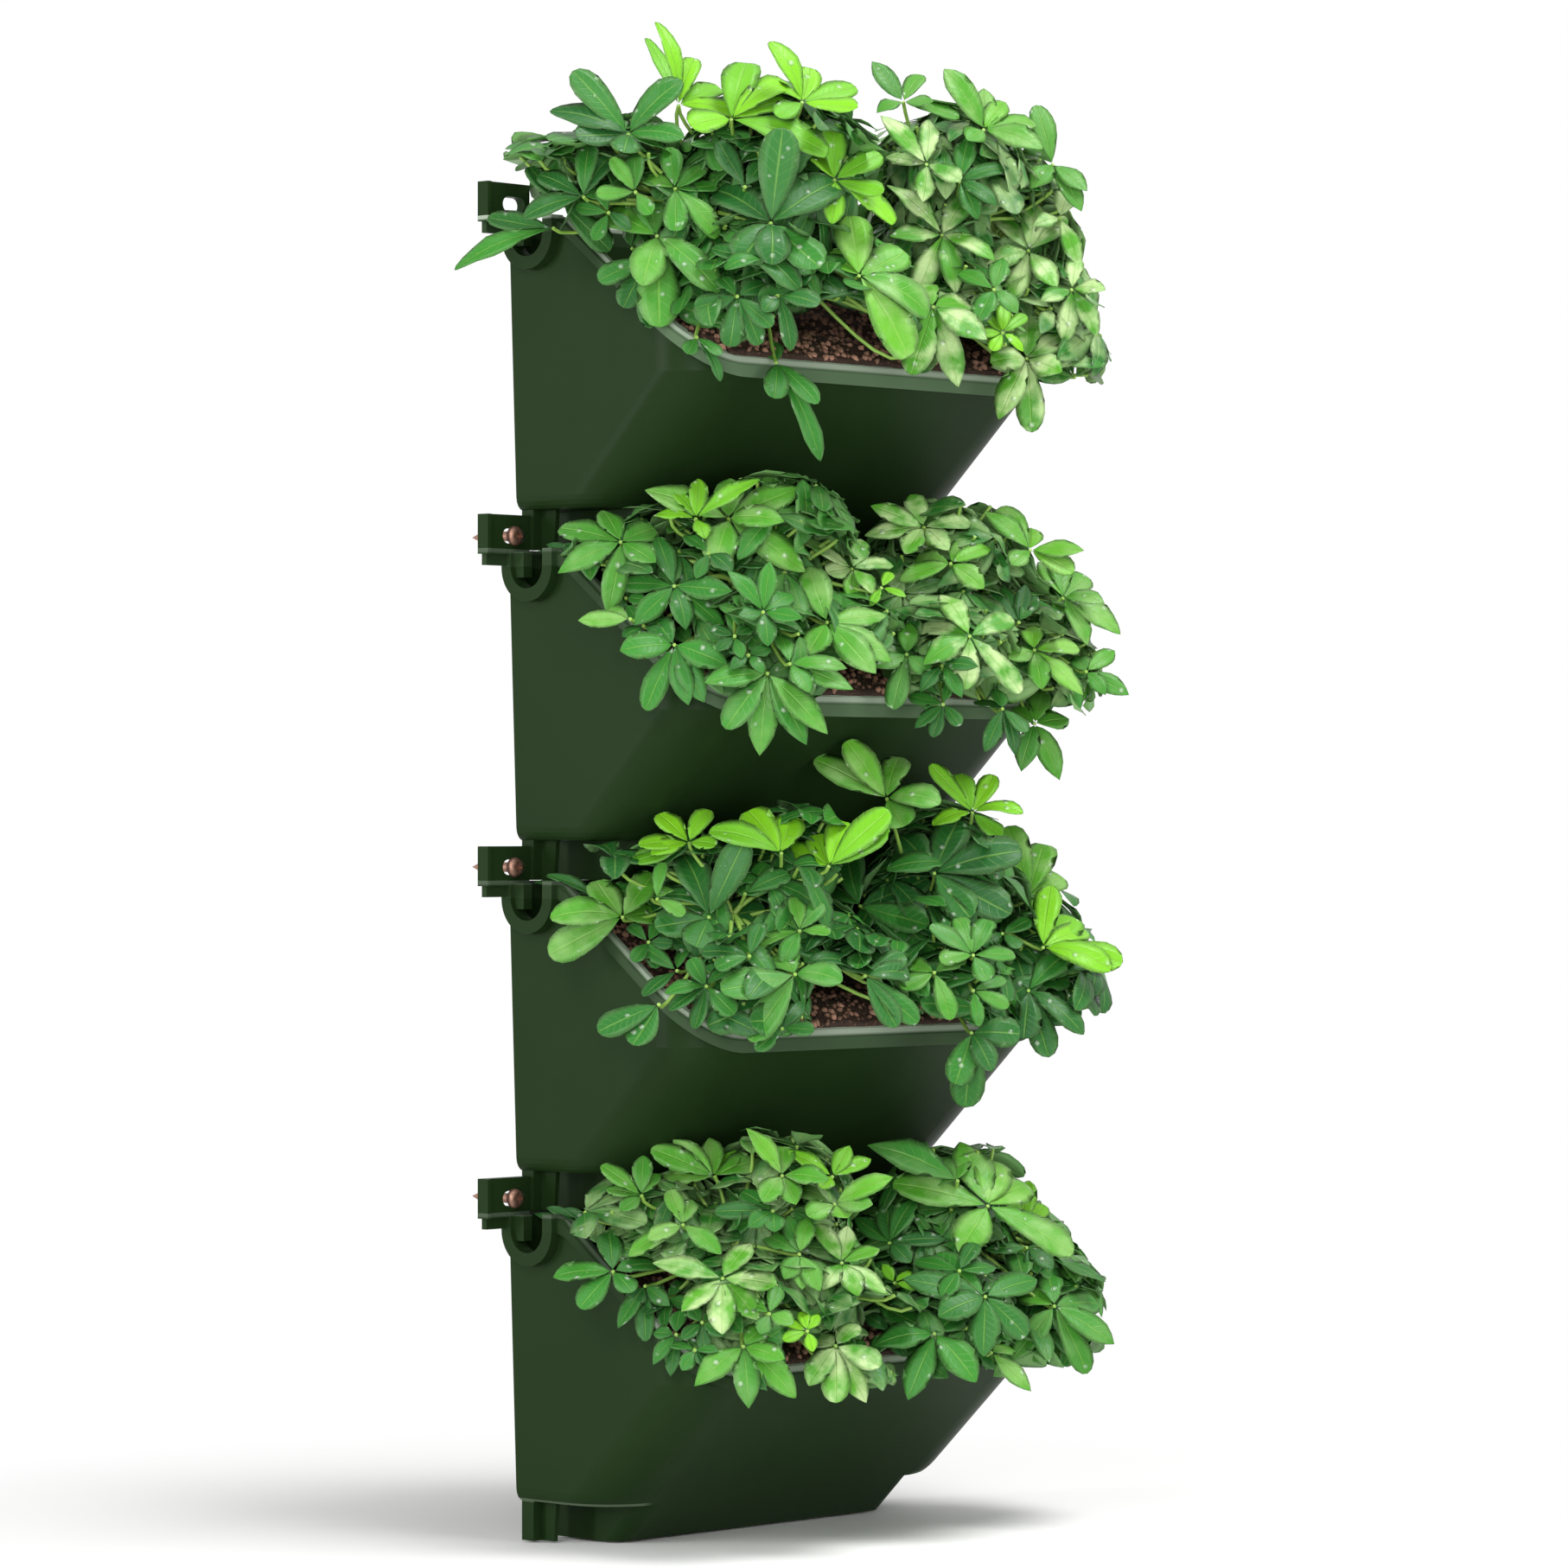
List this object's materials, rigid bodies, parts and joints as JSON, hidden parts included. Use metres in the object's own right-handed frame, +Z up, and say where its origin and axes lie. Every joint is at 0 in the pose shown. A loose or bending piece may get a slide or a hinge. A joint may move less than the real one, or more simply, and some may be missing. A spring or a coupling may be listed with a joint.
{
  "type": "wall planter",
  "caption": "Tower of stacked wall pots with sloping fronts and tilted mouths, screwed to a wall by ears, each holding soil and umbrella plants; the top pot lifts off.",
  "frame": {"origin": "on the wall plane, in the middle of the lowest pot's back face", "axes": "+X to the right seen from the front, +Y into the wall (the front faces -Y), +Z up"},
  "size_m": [0.308, 0.1841, 0.6611],
  "materials": {
    "pot_plastic": "moulded satin",
    "soil": "crumbly potting mix",
    "stem": "green stem",
    "leaf": "waxy leaf",
    "screw_metal": "copper-brown plated"
  },
  "bodies": {
    "lower_stack": {"bottom_pot": "pot_plastic", "bottom_soil": "soil", "bottom_left_stems": "stem", "bottom_left_foliage": "leaf", "bottom_right_stems": "stem", "bottom_right_foliage": "leaf", "third_pot": "pot_plastic", "third_soil": "soil", "third_left_stems": "stem", "third_left_foliage": "leaf", "third_right_stems": "stem", "third_right_foliage": "leaf", "second_pot": "pot_plastic", "second_soil": "soil", "second_left_stems": "stem", "second_left_foliage": "leaf", "second_right_stems": "stem", "second_right_foliage": "leaf", "wall_screws": "screw_metal"},
    "top_planter": {"top_pot": "pot_plastic", "top_soil": "soil", "top_left_stems": "stem", "top_left_foliage": "leaf", "top_right_stems": "stem", "top_right_foliage": "leaf"}
  },
  "joints": [
    {"name": "top_pot_lift", "type": "slide", "parent": "lower_stack", "child": "top_planter", "axis": [0, 0, 1], "range_m": [0, 0.05]}
  ]
}
